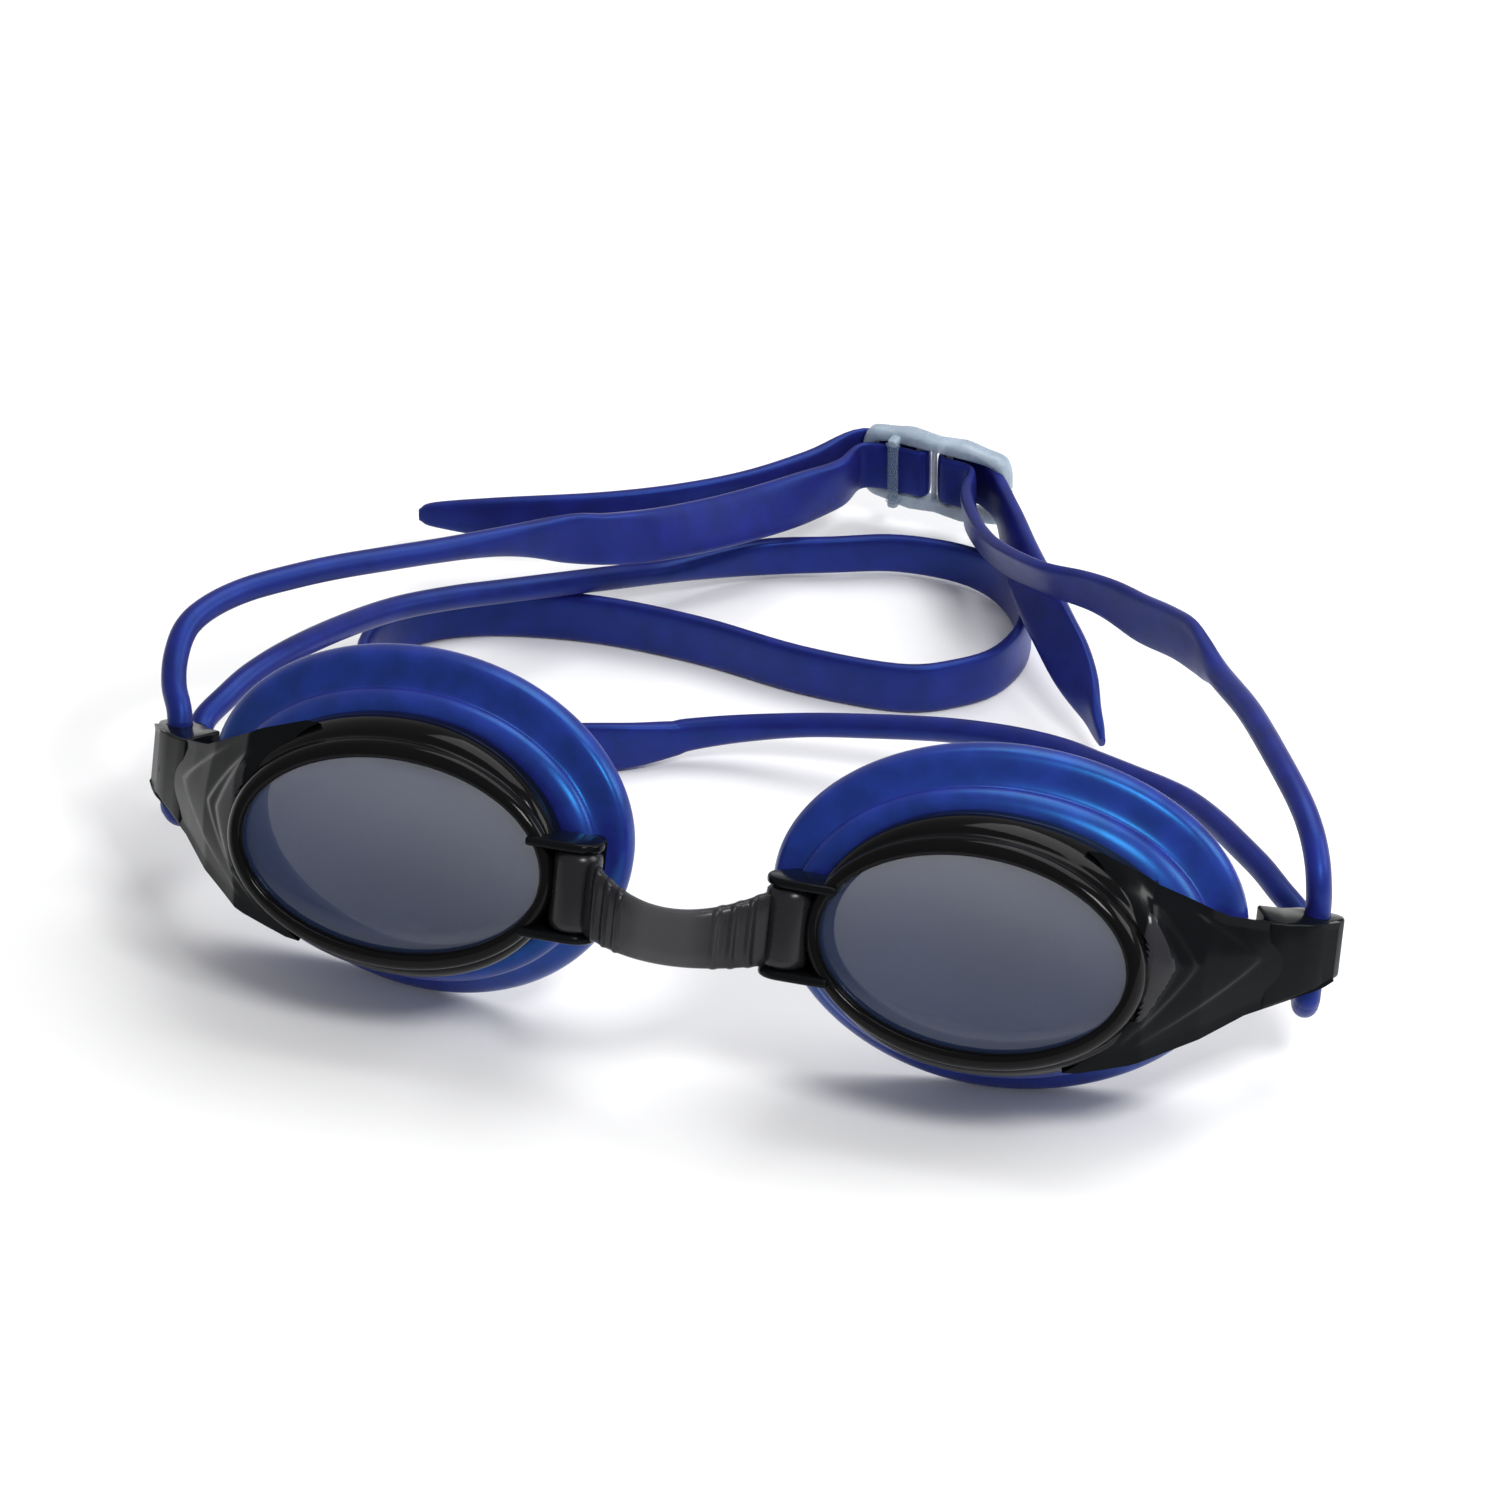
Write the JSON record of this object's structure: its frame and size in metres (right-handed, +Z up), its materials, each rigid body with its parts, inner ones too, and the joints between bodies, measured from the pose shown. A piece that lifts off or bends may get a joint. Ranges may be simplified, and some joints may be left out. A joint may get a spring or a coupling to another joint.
{
  "type": "swim goggles",
  "caption": "Swim goggles with two smoke eyecups on a soft nose bridge, silicone eye seals and a long split head strap held by a clear ladder buckle.",
  "frame": {"origin": "centre of the goggles' box in plan, on the table that they lie on", "axes": "+Z up, +X along the width to the viewer's right, -Y the way the lenses face; the cups lean back from upright"},
  "size_m": [0.1586, 0.1437, 0.0435],
  "materials": {
    "smoke_frame": "glossy clear smoke-tinted polycarbonate",
    "smoke_lens": "polished smoke-tinted polycarbonate pane",
    "smoke_bridge": "soft smoke-tinted translucent elastomer",
    "blue_gasket": "satin pearly silicone",
    "blue_strap": "satin pearly silicone",
    "clear_buckle": "frosted clear polycarbonate"
  },
  "bodies": {
    "bridge": {"nose_bridge": "smoke_bridge", "buckle": "clear_buckle", "strap_fold_left": "blue_strap", "strap_fold_right": "blue_strap", "strap_upper_left": "blue_strap", "strap_upper_right": "blue_strap", "strap_lower_left": "blue_strap", "strap_lower_band": "blue_strap", "strap_lower_right": "blue_strap"},
    "left_eyecup": {"frame_left": "smoke_frame", "lens_left": "smoke_lens", "gasket_left": "blue_gasket", "strap_turn_left": "blue_strap"},
    "right_eyecup": {"frame_right": "smoke_frame", "lens_right": "smoke_lens", "gasket_right": "blue_gasket", "strap_turn_right": "blue_strap"},
    "left_tail": {"strap_tail_left": "blue_strap"},
    "right_tail": {"strap_tail_right": "blue_strap"}
  },
  "joints": [
    {"name": "left_bridge_hinge", "type": "hinge", "parent": "bridge", "child": "left_eyecup", "pos_m": [-0.0138, -0.06268, 0.02532], "axis": [0, 0.3584, 0.9336], "range_deg": [-12, 12], "stiffness_Nm_per_rad": 0.08, "deforming": ["strap_upper_left", "strap_lower_left"]},
    {"name": "right_bridge_hinge", "type": "hinge", "parent": "bridge", "child": "right_eyecup", "pos_m": [0.0138, -0.06268, 0.02532], "axis": [0, 0.3584, 0.9336], "range_deg": [-12, 12], "stiffness_Nm_per_rad": 0.08, "deforming": ["strap_upper_right", "strap_lower_right"]},
    {"name": "left_tail_slide", "type": "slide", "parent": "bridge", "child": "left_tail", "axis": [-0.8571, -0.5151, 0], "range_m": [-0.006, 0.006], "deforming": ["strap_tail_left", "strap_fold_left"]},
    {"name": "right_tail_slide", "type": "slide", "parent": "bridge", "child": "right_tail", "axis": [0.4651, -0.8852, 0], "range_m": [-0.006, 0.006], "deforming": ["strap_tail_right", "strap_fold_right"]}
  ]
}
